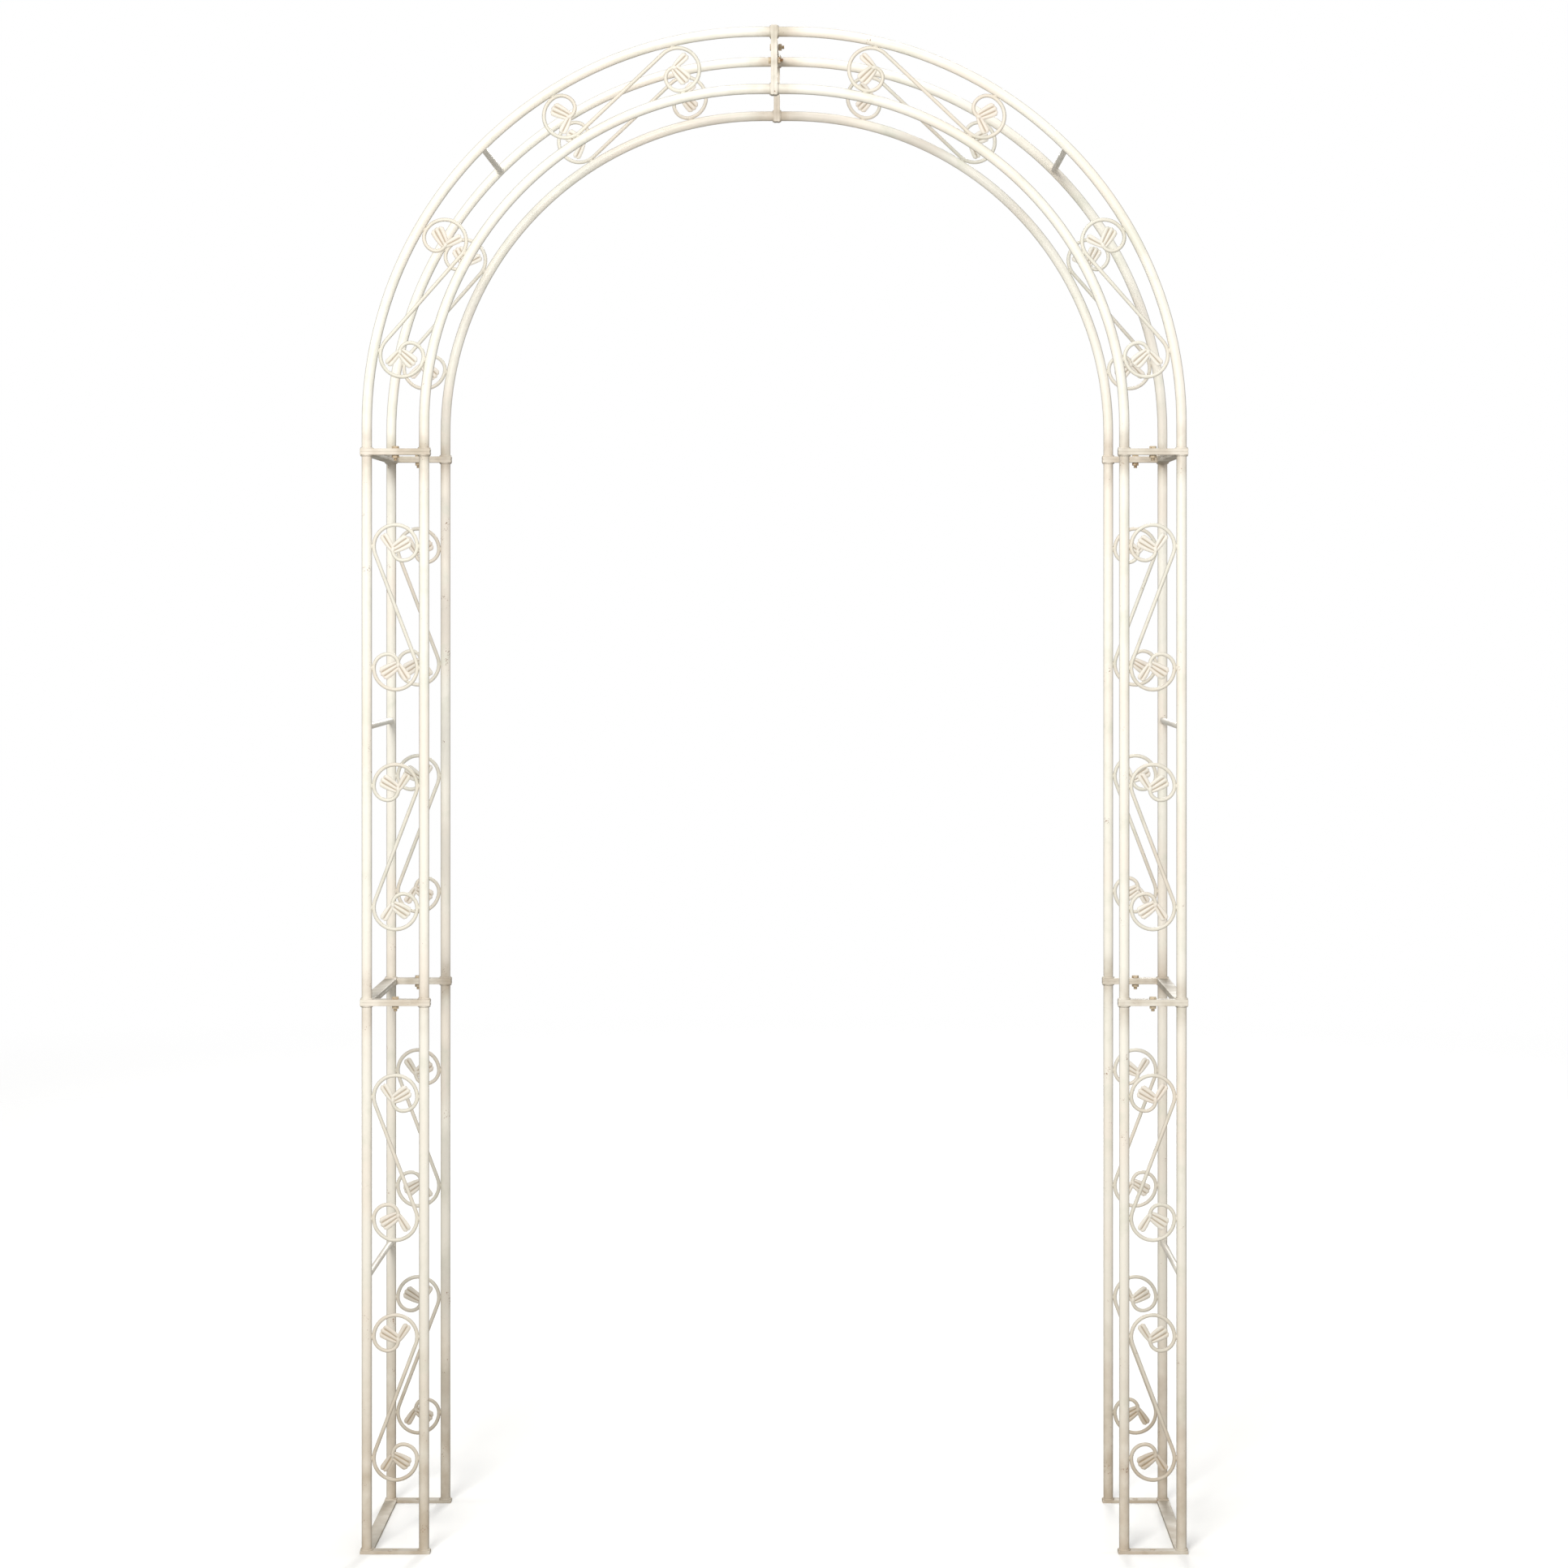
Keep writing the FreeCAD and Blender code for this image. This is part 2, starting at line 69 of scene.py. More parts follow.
camera_data = bpy.data.cameras.new("eye")
camera = bpy.data.objects.new("eye", camera_data)
bpy.context.scene.collection.objects.link(camera)
camera.location = EYE
camera.rotation_euler = (math.radians(90), 0, 0)
camera_data.lens = FOCAL_LENGTH
camera_data.sensor_width = FILM_WIDTH
camera_data.shift_x = SHIFT_ACROSS
camera_data.shift_y = SHIFT_DOWN
bpy.context.scene.camera = camera
print("camera at", EYE, "with a lens of", FOCAL_LENGTH, "mm")

# %% [markdown]
# ## Floor and light
#
# A pale floor that fades out before it ends has no visible edge from any side. The fade is a
# Transparent shader, mixed in by the distance from the middle. The room is white where it is
# looked at and dimmer where it lights, and the floor throws back less light than it shows, so
# the lamps decide the shading. The key stands close to the line of sight and a little above
# it: a pale tube before a pale room then shows by its two darker edges, and the light falls
# off towards the feet. A weaker lamp fills from the right and one hangs overhead. The one
# behind and the two at the sides are for whoever walks round the arch.

# %% Small helpers for nodes
def fill(tree, made, sockets):
    """Gives a node's sockets their values, which are plain values or other nodes' outputs."""
    for name, value in sockets.items():
        if isinstance(value, bpy.types.NodeSocket):
            tree.links.new(value, made.inputs[name])
        else:
            made.inputs[name].default_value = value
    return made


def node(tree, kind, sockets=None, **settings):
    """Adds a node of a kind, with its settings and its sockets filled."""
    made = tree.nodes.new("ShaderNode" + kind)
    for name, value in settings.items():
        setattr(made, name, value)
    return fill(tree, made, sockets or {})


def maths(tree, operation, *values, clamped=False):
    """The output of a Math node."""
    made = node(tree, "Math", dict(enumerate(values)), operation=operation, use_clamp=clamped)
    return made.outputs[0]


def ramp(tree, value, start, end, top=1.0):
    """A soft step from 0 to top, while a value goes from start to end."""
    made = node(tree, "MapRange", {"Value": value, "From Min": start, "From Max": end, "To Max": top},
                interpolation_type="SMOOTHSTEP")
    return made.outputs[0]


def mix_colour(tree, share, under, over):
    """One colour over another. A Mix node keeps its colours in sockets 6 and 7, and output 2."""
    return node(tree, "Mix", {0: share, 6: under, 7: over}, data_type="RGBA").outputs[2]


def mix_shader(tree, share, under, over):
    """One shader over another."""
    return node(tree, "MixShader", {0: share, 1: under.outputs[0], 2: over.outputs[0]})


def blank_material(name):
    """A material with an empty node tree and its output node."""
    material = bpy.data.materials.new(name)
    material.use_nodes = True
    material.node_tree.nodes.clear()
    return material, material.node_tree, node(material.node_tree, "OutputMaterial")


print("node helpers ready")

# %% Floor
FLOOR_RADIUS = 11
FADE_FROM = 1.6
FADE_TO = 8.0


def nothing_selected():
    """Leaves edit mode and deselects everything, so that an operator meets only its own piece."""
    if bpy.context.mode != "OBJECT":
        bpy.ops.object.mode_set(mode="OBJECT")
    bpy.ops.object.select_all(action="DESELECT")


nothing_selected()
bpy.ops.mesh.primitive_circle_add(vertices=96, radius=FLOOR_RADIUS, fill_type="NGON")
floor = bpy.context.object
floor.name = "floor"

floor_paint, tree, out = blank_material("pale floor")
place = node(tree, "TexCoord").outputs["Object"]
reach = node(tree, "VectorMath", {0: place}, operation="LENGTH").outputs["Value"]
fade = ramp(tree, reach, FADE_FROM, FADE_TO)
pale = node(tree, "BsdfDiffuse", {"Color": (0.92, 0.915, 0.9, 1)})
quiet = node(tree, "BsdfDiffuse", {"Color": (0.42, 0.41, 0.39, 1)})
looked_at = node(tree, "LightPath").outputs["Is Camera Ray"]
matt = mix_shader(tree, looked_at, quiet, pale)
clear = node(tree, "BsdfTransparent")
mixed = mix_shader(tree, fade, matt, clear)
tree.links.new(mixed.outputs[0], out.inputs[0])
floor.data.materials.append(floor_paint)
print("floor", 2 * FLOOR_RADIUS, "m across, clear from", FADE_TO, "m out")

# %% Room
ROOM_LIGHT = 0.26

room = bpy.data.worlds.new("white room")
room.use_nodes = True
bpy.context.scene.world = room
tree = room.node_tree
tree.nodes.clear()
out = node(tree, "OutputWorld")
seen = node(tree, "Background", {"Color": (1, 1, 1, 1), "Strength": 1.0})
lit = node(tree, "Background", {"Color": (0.95, 0.97, 1, 1), "Strength": ROOM_LIGHT})
looked_at = node(tree, "LightPath").outputs["Is Camera Ray"]
mixed = mix_shader(tree, looked_at, lit, seen)
tree.links.new(mixed.outputs[0], out.inputs[0])
bpy.context.scene.view_settings.view_transform = "Standard"
print("room lights at", ROOM_LIGHT, "of white")

# %% Lamps
MIDDLE_OF_ARCH = Vector((0, 0, 1.2))
LAMPS = {  # place, width in metres, watts, tint
    "key": ((-1.5, -7.0, 3.9), 2.0, 475, (1.0, 0.985, 0.95)),
    "fill": ((2.6, -6.8, 2.6), 2.2, 60, (0.97, 0.98, 1.0)),
    "overhead": ((0, 0.3, 5.8), 3.0, 90, (1.0, 1.0, 1.0)),
    "behind": ((0.5, 7.2, 3.9), 1.8, 330, (1.0, 0.99, 0.97)),
    "left side": ((-6.5, 0, 3.2), 2.0, 85, (1.0, 0.99, 0.97)),
    "right side": ((6.5, 0, 3.2), 2.0, 85, (1.0, 0.99, 0.97)),
}
for name, (place, width, watts, tint) in LAMPS.items():
    data = bpy.data.lights.new(name, "AREA")
    data.size = width
    data.energy = watts
    data.color = tint
    lamp = bpy.data.objects.new(name, data)
    bpy.context.scene.collection.objects.link(lamp)
    lamp.location = place
    aim = MIDDLE_OF_ARCH - lamp.location
    lamp.rotation_euler = aim.to_track_quat("-Z", "Y").to_euler()
print(len(LAMPS), "lamps, all turned to the middle of the arch")

# %% [markdown]
# ## Old cream paint
#
# The whole arch has one finish: cream paint that has warmed and dulled in patches, is stained
# round its joints and near the ground, and lets brown rust through in specks. Each of those
# effects is a node group with named inputs, built once, so that tube, bar, wire and leaf share
# the recipe and differ only in its numbers. All of them read Object coordinates, in metres,
# because every piece stands at the origin: a stain then runs on from one piece to the next.

# %% A maker of shared effects
SOCKET = {"number": "NodeSocketFloat", "colour": "NodeSocketColor", "vector": "NodeSocketVector"}


def effect(name, inputs, outputs):
    """A node group, its inputs' values and the sockets to fill at its end."""
    group = bpy.data.node_groups.new(name, "ShaderNodeTree")
    for label, kind in inputs.items():
        group.interface.new_socket(label, in_out="INPUT", socket_type=SOCKET[kind])
    for label, kind in outputs.items():
        group.interface.new_socket(label, in_out="OUTPUT", socket_type=SOCKET[kind])
    return group, group.nodes.new("NodeGroupInput").outputs, group.nodes.new("NodeGroupOutput").inputs


def use(tree, group, sockets):
    """Places a shared effect in a material."""
    made = tree.nodes.new("ShaderNodeGroup")
    made.node_tree = group
    return fill(tree, made, sockets).outputs


print("an effect's sockets can be", ", ".join(SOCKET))

# %% Effect: patches of warmer and duller paint
patches, given, result = effect(
    "Patches of paint",
    {"Place": "vector", "Fresh": "colour", "Warm": "colour", "Dull": "colour", "Per metre": "number"},
    {"Colour": "colour"})
broad = node(patches, "TexNoise", {"Vector": given["Place"], "Scale": given["Per metre"],
                                   "Detail": 3.0, "Roughness": 0.55})
warm = ramp(patches, broad.outputs[0], 0.42, 0.64, top=0.75)
finer = maths(patches, "MULTIPLY", given["Per metre"], 3.7)
narrow = node(patches, "TexNoise", {"Vector": given["Place"], "Scale": finer,
                                    "Detail": 4.0, "Roughness": 0.6, "Distortion": 0.3})
dull = ramp(patches, narrow.outputs[0], 0.48, 0.72, top=0.7)
warmed = mix_colour(patches, warm, given["Fresh"], given["Warm"])
dulled = mix_colour(patches, dull, warmed, given["Dull"])
patches.links.new(dulled, result["Colour"])
print("effect:", patches.name)

# %% Effect: stain that gathers at the joints and the ground, and paint that is darker towards the bottom
DARKER_FROM_HEIGHT = 1.6
stain, given, result = effect(
    "Stain at joints and ground",
    {"Place": "vector", "Lower joint": "number", "Upper joint": "number", "Reach": "number",
     "Splash height": "number"},
    {"Stain": "number", "Darker below": "number"})
parts = node(stain, "SeparateXYZ", {0: given["Place"]}).outputs
to_joint = []
for level in ("Lower joint", "Upper joint"):
    gap = maths(stain, "SUBTRACT", parts["Z"], given[level])
    to_joint.append(maths(stain, "ABSOLUTE", gap))
to_crown = maths(stain, "ABSOLUTE", parts["X"])
to_leg_joint = maths(stain, "MINIMUM", *to_joint)
nearest = maths(stain, "MINIMUM", to_leg_joint, to_crown)
joint = ramp(stain, nearest, given["Reach"], 0.0)
splash = ramp(stain, parts["Z"], given["Splash height"], 0.0)
either = maths(stain, "MAXIMUM", joint, splash)
ragged = node(stain, "TexNoise", {"Vector": given["Place"], "Scale": 26.0, "Detail": 4.0})
broken = node(stain, "MapRange", {"Value": ragged.outputs[0], "From Min": 0.3, "From Max": 0.65,
                                  "To Min": 0.15})
both = maths(stain, "MULTIPLY", either, broken.outputs[0])
# Darker towards the bottom: from 1.6 m down, the paint is mixed more and more towards a brown-grey tint,
# most of all at the ground.
depth = node(stain, "MapRange", {"Value": parts["Z"], "From Min": DARKER_FROM_HEIGHT, "From Max": 0.0})
darker_below = maths(stain, "POWER", depth.outputs[0], 2.2)
stain.links.new(both, result["Stain"])
stain.links.new(darker_below, result["Darker below"])
print("effect:", stain.name)

# %% Effect: rust that breaks through in specks
specks, given, result = effect(
    "Rust specks",
    {"Place": "vector", "Per metre": "number", "Cover": "number"},
    {"Rust": "number"})
fine = node(specks, "TexNoise", {"Vector": given["Place"], "Scale": given["Per metre"],
                                 "Detail": 6.0, "Roughness": 0.68})
wide = node(specks, "TexNoise", {"Vector": given["Place"], "Scale": 34.0, "Detail": 2.0})
pooled = maths(specks, "ADD", fine.outputs[0], wide.outputs[0])
edge = maths(specks, "MULTIPLY_ADD", given["Cover"], -0.45, 1.38)
soft = maths(specks, "ADD", edge, 0.1)
shown = ramp(specks, pooled, edge, soft)
specks.links.new(shown, result["Rust"])
print("effect:", specks.name)

# %% Effect: the skin of thick paint
skin, given, result = effect(
    "Skin of paint",
    {"Place": "vector", "Per metre": "number", "Rust": "number"},
    {"Height": "number"})
peel = node(skin, "TexNoise", {"Vector": given["Place"], "Scale": given["Per metre"], "Detail": 2.0})
coarse = node(skin, "TexNoise", {"Vector": given["Place"], "Scale": 95.0, "Detail": 2.0})
lumps = maths(skin, "MULTIPLY_ADD", coarse.outputs[0], 0.8, peel.outputs[0])
pitted = maths(skin, "MULTIPLY_ADD", given["Rust"], -0.9, lumps)
skin.links.new(pitted, result["Height"])
print("effect:", skin.name)

# %% Effect: paint that is thin on edges and full in corners
edges, given, result = effect(
    "Worn edges and full corners",
    {"Pointiness": "number", "Place": "vector", "Edge from": "number", "Corner to": "number"},
    {"Worn": "number", "Corner": "number"})
ragged = node(edges, "TexNoise", {"Vector": given["Place"], "Scale": 160.0, "Detail": 4.0})
sway = maths(edges, "MULTIPLY_ADD", ragged.outputs[0], 0.12, -0.06)
felt = maths(edges, "ADD", given["Pointiness"], sway)
top = maths(edges, "ADD", given["Edge from"], 0.07)
worn = ramp(edges, felt, given["Edge from"], top)
low = maths(edges, "ADD", given["Corner to"], -0.08)
corner = ramp(edges, felt, given["Corner to"], low)
edges.links.new(worn, result["Worn"])
edges.links.new(corner, result["Corner"])
print("effect:", edges.name)

# %% [markdown]
# ## One recipe, six paints
#
# The recipe puts the effects in the order in which they happened: paint, then patches, then
# dirt, then rust. Only the numbers change. A bar has edges that rub bare, a leaf has deep
# grooves that hold dirt, a wire is thin and rusts sooner, and a tube is the cleanest. Last
# comes painted shade: where the surface turns away from the eye, a Layer Weight node darkens
# the paint, as if those grazing sides caught less light. That draws a fine dark line round
# every wire, which a cream arch before a white wall needs in order to be seen. A rod gets
# hardly any, because from the front one looks along its whole length.
#
# Each paint has three tints: fresh, warmed by rust from below, and dulled by the weather.

# %% Tints
CREAM = ((0.88, 0.85, 0.765, 1), (0.87, 0.79, 0.69, 1), (0.75, 0.745, 0.64, 1))
THIN_CREAM = ((0.74, 0.71, 0.62, 1), (0.72, 0.64, 0.54, 1), (0.62, 0.60, 0.51, 1))
LEAF_CREAM = ((0.80, 0.765, 0.69, 1), (0.78, 0.69, 0.60, 1), (0.66, 0.64, 0.55, 1))
BOLT_TAN = ((0.70, 0.60, 0.44, 1), (0.58, 0.43, 0.27, 1), (0.52, 0.42, 0.28, 1))
DIRT = (0.36, 0.27, 0.17, 1)
# The brown-grey tint towards which the paint darkens near the bottom.
LOWER_TINT = (0.50, 0.43, 0.34, 1)
RUST = (0.25, 0.115, 0.045, 1)
# The colour of the painted shade on the sides that turn away from the eye.
EDGE_SHADE_TINT = (0.27, 0.245, 0.19, 1)
print("each paint has", len(CREAM), "tints")

# %% The recipe
LOWER_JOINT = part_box("left_lower_leg_top_frame")[1].z
UPPER_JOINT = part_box("left_upper_leg_top_frame")[1].z
PATCHES_PER_METRE = 5.0
SPECKS_PER_METRE = 420.0
PEEL_PER_METRE = 520.0
STAIN_REACH = 0.06
SPLASH_HEIGHT = 0.45
SHARP_FROM = 0.56
HOLLOW_TO = 0.46
PAINT_RELIEF = 0.0005

# How far one effect carries into another, from 0 to 1.
STAIN_TO_DIRT = 0.65
STAIN_TO_RUST = 0.16
DARKER_BELOW_TO_COLOUR = 0.5
DIRT_TO_ROUGHNESS = 0.25
RUST_TO_ROUGHNESS = 0.3


def painted(name, cover, wear, corners, edge_shade, roughness, tints):
    """Old paint: how much rusts, rubs off edges and stays dirty in corners, and how much painted shade
    darkens it where it turns from the eye.
    """
    fresh, warm, dull = tints
    material, tree, out = blank_material(name)
    place = node(tree, "TexCoord").outputs["Object"]
    sharp = node(tree, "NewGeometry").outputs["Pointiness"]
    colour = use(tree, patches, {"Place": place, "Fresh": fresh, "Warm": warm, "Dull": dull,
                                 "Per metre": PATCHES_PER_METRE})["Colour"]
    stained = use(tree, stain, {"Place": place, "Lower joint": LOWER_JOINT, "Upper joint": UPPER_JOINT,
                                "Reach": STAIN_REACH, "Splash height": SPLASH_HEIGHT})
    dirty = stained["Stain"]
    rubbed = use(tree, edges, {"Pointiness": sharp, "Place": place, "Edge from": SHARP_FROM,
                               "Corner to": HOLLOW_TO})
    groove = node(tree, "Attribute", attribute_name="groove").outputs["Fac"]
    hollow = maths(tree, "MAXIMUM", rubbed["Corner"], groove)
    in_corner = maths(tree, "MULTIPLY", hollow, corners)
    dirt = maths(tree, "MULTIPLY_ADD", dirty, STAIN_TO_DIRT, in_corner, clamped=True)
    on_edge = maths(tree, "MULTIPLY", rubbed["Worn"], wear)
    more = maths(tree, "MULTIPLY_ADD", dirty, STAIN_TO_RUST, cover)
    all_cover = maths(tree, "ADD", on_edge, more)
    rust = use(tree, specks, {"Place": place, "Per metre": SPECKS_PER_METRE, "Cover": all_cover})["Rust"]
    # The paint is made darker towards the bottom, at most half way to the brown-grey tint.
    darkening = maths(tree, "MULTIPLY", stained["Darker below"], DARKER_BELOW_TO_COLOUR)
    darkened_low = mix_colour(tree, darkening, colour, LOWER_TINT)
    soiled = mix_colour(tree, dirt, darkened_low, DIRT)
    rusted = mix_colour(tree, rust, soiled, RUST)
    # Painted shade: a Layer Weight node darkens the paint towards a brown-grey where the surface turns
    # away from the eye, which draws dark edges round every tube, bar and wire.
    slanting = node(tree, "LayerWeight", {"Blend": 0.5}).outputs["Facing"]
    edge_shade_share = ramp(tree, slanting, 0.4, 0.95, top=edge_shade)
    final = mix_colour(tree, edge_shade_share, rusted, EDGE_SHADE_TINT)
    matt = maths(tree, "MULTIPLY_ADD", dirt, DIRT_TO_ROUGHNESS, roughness)
    rough = maths(tree, "MULTIPLY_ADD", rust, RUST_TO_ROUGHNESS, matt, clamped=True)
    height = use(tree, skin, {"Place": place, "Per metre": PEEL_PER_METRE, "Rust": rust})["Height"]
    bump = node(tree, "Bump", {"Strength": 0.35, "Distance": PAINT_RELIEF, "Height": height})
    shader = node(tree, "BsdfPrincipled", {"Base Color": final, "Roughness": rough,
                                           "Normal": bump.outputs[0]})
    tree.links.new(shader.outputs[0], out.inputs[0])
    return material


PAINTS = {  # slot: name, cover, wear, corners, painted edge shade, roughness, tints
    "rail_paint": ("cream paint on tube", 0.16, 0.1, 0.2, 0.7, 0.42, CREAM),
    "rod_paint": ("cream paint on rod", 0.16, 0.1, 0.2, 0.1, 0.45, CREAM),
    "bar_paint": ("cream paint on bar", 0.2, 0.3, 0.4, 0.5, 0.48, CREAM),
    "wire_paint": ("cream paint on wire", 0.2, 0.1, 0.2, 0.85, 0.45, THIN_CREAM),
    "leaf_paint": ("cream paint on leaf", 0.2, 0.25, 0.9, 0.8, 0.5, LEAF_CREAM),
    "bolt_paint": ("rusting bolt", 0.42, 0.4, 0.9, 0.5, 0.5, BOLT_TAN),
}
FINISH = {slot: painted(*numbers) for slot, numbers in PAINTS.items()}
print(len(FINISH), "finishes:", ", ".join(FINISH))

# %% Each measured part takes its finish
FINISH_OF = {"rail": "rail_paint", "frame": "bar_paint", "rod": "rod_paint", "scrolls": "wire_paint",
             "leaves": "leaf_paint", "bolts": "bolt_paint", "nuts": "bolt_paint"}
for name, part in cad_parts.items():
    kind = name.split("_")[-1]
    part.data.materials.clear()
    part.data.materials.append(FINISH[FINISH_OF[kind]])
print(len(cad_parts), "parts painted")

# %% [markdown]
# ## Working as by hand
#
# Each new piece starts as a primitive, is opened in edit mode and is shaped by the same
# operators that the menus call. An operator acts on whatever is selected, so a few helpers
# keep order: add opens a new primitive, pick selects by place, and modify applies a modifier.
# Three more end a piece: close_up mends its seams, join makes one piece of several with its
# origin at the world's, and finish names it, paints it and lets it ride on the arch.

# %% Helpers that shape
SELECT_MODE = {"verts": "VERT", "edges": "EDGE", "faces": "FACE"}
MERGE_WITHIN = 0.00002


def add(primitive, **settings):
    """Adds a primitive at the origin and opens it for editing, all of it selected."""
    nothing_selected()
    getattr(bpy.ops.mesh, f"primitive_{primitive}_add")(**settings)
    piece = bpy.context.object
    bpy.ops.object.mode_set(mode="EDIT")
    bpy.ops.mesh.select_all(action="SELECT")
    return piece


def pick(piece, kind, wanted):
    """Selects the verts, edges or faces whose middle passes a test, and nothing else."""
    bpy.ops.mesh.select_mode(type=SELECT_MODE[kind])
    bpy.ops.mesh.select_all(action="DESELECT")
    shape = bmesh.from_edit_mesh(piece.data)
    for item in getattr(shape, kind):
        corners = [item] if kind == "verts" else list(item.verts)
        middle = sum((corner.co for corner in corners), Vector()) / len(corners)
        item.select_set(bool(wanted(middle)))
    shape.select_flush_mode()
    bmesh.update_edit_mesh(piece.data)


def alone(piece):
    """Makes a piece the only one selected, and the active one."""
    nothing_selected()
    piece.select_set(True)
    bpy.context.view_layer.objects.active = piece


def modify(piece, kind, **settings):
    """Adds a modifier and applies it at once."""
    alone(piece)
    made = piece.modifiers.new(kind.lower(), kind)
    for name, value in settings.items():
        setattr(made, name, value)
    bpy.ops.object.modifier_apply(modifier=made.name)


print("shaping helpers ready, doubles merge within", MERGE_WITHIN, "m")

# %% Helpers that end a piece
def close_up(piece):
    """Merges doubles and turns every face outwards."""
    bpy.ops.mesh.select_all(action="SELECT")
    bpy.ops.mesh.remove_doubles(threshold=MERGE_WITHIN)
    bpy.ops.mesh.normals_make_consistent(inside=False)
    nothing_selected()
    return piece


def join(pieces):
    """Joins pieces into the first of them, with the origin back at the world's."""
    nothing_selected()
    for piece in pieces:
        piece.select_set(True)
    bpy.context.view_layer.objects.active = pieces[0]
    bpy.ops.object.transform_apply()
    if len(pieces) > 1:
        bpy.ops.object.join()
    return bpy.context.object


def copies(pattern, places):
    """One copy of a pattern at each place, each with a mesh of its own."""
    made = []
    for place in places:
        alone(pattern)
        bpy.ops.object.duplicate()
        copy = bpy.context.object
        copy.matrix_world = place
        made.append(copy)
    return made


def put_away(*patterns):
    """Removes patterns that have been copied everywhere they are needed."""
    for pattern in patterns:
        bpy.data.objects.remove(pattern)


def finish(pieces, name, slot, *replaced, smooth=35):
    """Joins, names and paints a piece, and lets it ride on the arch."""
    piece = join(pieces)
    bpy.ops.object.shade_smooth_by_angle(angle=math.radians(smooth))
    piece.name = name
    piece.data.name = name
    piece.data.materials.clear()
    piece.data.materials.append(FINISH[slot])
    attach(piece, "root")
    if replaced:
        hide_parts(*replaced)


print("ending helpers ready")

# %% [markdown]
# ## Where things are
#
# Places come from the boxes of the measured parts. A section is one of six, left or right;
# the right half of the arch is the left half turned half a turn about the upright axis, and
# the back panels are the front ones moved back. A quarter of the hoop runs straight for a
# little at its foot and at the crown, with its bend between the two.

# %% The six sections
SIDES = {"left": -1, "right": 1}
LEGS = ("lower_leg", "upper_leg")
PARTS = (*LEGS, "hoop")
HALF_TURN = {"left": Matrix.Identity(4), "right": Matrix.Rotation(math.pi, 4, "Z")}
print(len(SIDES) * len(PARTS), "sections")

# %% Sizes read from the measured parts
RAIL_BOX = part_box("left_lower_leg_front_outer_rail")
INNER_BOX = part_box("left_lower_leg_front_inner_rail")
ROD_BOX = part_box("left_lower_leg_cross_rod")
TUBE = (RAIL_BOX[1].x - RAIL_BOX[0].x) / 2
ROD = (ROD_BOX[1].z - ROD_BOX[0].z) / 2
FACE_Y = abs((RAIL_BOX[1].y + RAIL_BOX[0].y) / 2)
PANELS = (-FACE_Y, FACE_Y)
OUTER_X = abs((RAIL_BOX[1].x + RAIL_BOX[0].x) / 2)
INNER_X = abs((INNER_BOX[1].x + INNER_BOX[0].x) / 2)
MIDDLE_X = (OUTER_X + INNER_X) / 2
BAR_THICK = RAIL_BOX[0].z
SECTION = LOWER_JOINT
print("rails at", round(INNER_X, 3), "and", round(OUTER_X, 3), "m, radius", round(TUBE, 4), "m")

# %% Sizes that no box shows
BAR_WIDTH = 0.020
WIRE = 0.003
FOOT_RUN = 0.044
CROWN_RUN = 0.024
BEND_MIDDLE = Vector((-CROWN_RUN, 0, UPPER_JOINT + FOOT_RUN))
LOOP = (OUTER_X - INNER_X) / 2 - TUBE - WIRE
print("the hoop bends about", [round(part, 3) for part in BEND_MIDDLE], "m; loops of", round(LOOP, 4), "m")

# %% [markdown]
# ## Flat bars
#
# On the real arch the bars are sawn from rolled strip, drilled, and welded edge to end. A
# plain box would do from afar, but its edges would be sharper than any painted edge is, and
# would catch no light. So a box is stretched to size, drilled by a Boolean, and its edges
# rounded by a Bevel: rounded edges are what makes metal look like metal.

# %% Bar patterns
BOLT_HOLE = 0.0033
PEG_HOLE = 0.0043
BAR_ROUNDING = 0.0009


def drilled(piece, radius):
    """Drills a hole along Z, right through a piece that lies about the origin."""
    drill = add("cylinder", vertices=40, radius=radius, depth=4 * BAR_THICK)
    nothing_selected()
    modify(piece, "BOOLEAN", operation="DIFFERENCE", object=drill, solver="EXACT")
    put_away(drill)


def flat_bar(length, depth, hole=0.0):
    """A bar lying flat about the origin, with rounded edges and a hole through its middle."""
    bar = add("cube", size=1)
    bpy.ops.transform.resize(value=(length, depth, BAR_THICK))
    if hole:
        drilled(bar, hole)
    alone(bar)
    bpy.ops.object.shade_smooth()
    modify(bar, "BEVEL", width=BAR_ROUNDING, segments=3, limit_method="ANGLE",
           angle_limit=math.radians(40), harden_normals=True)
    return bar


CROSS_LENGTH = OUTER_X - INNER_X + BAR_WIDTH
OUTER_LENGTH = 2 * FACE_Y - BAR_WIDTH
cross_bar = flat_bar(CROSS_LENGTH, BAR_WIDTH, BOLT_HOLE)
foot_bar = flat_bar(CROSS_LENGTH, BAR_WIDTH, PEG_HOLE)
outer_bar = flat_bar(BAR_WIDTH, OUTER_LENGTH)
crown_bar = flat_bar(BAR_WIDTH, OUTER_LENGTH, BOLT_HOLE)
print("a drilled bar has", len(cross_bar.data.polygons), "faces")

# %% Bead where two bars meet
BEAD_RADIUS = 0.0017
BEAD_STEPS = 12
SWELL = 1.28
PINCH = 0.78
FLATTEN = 0.62


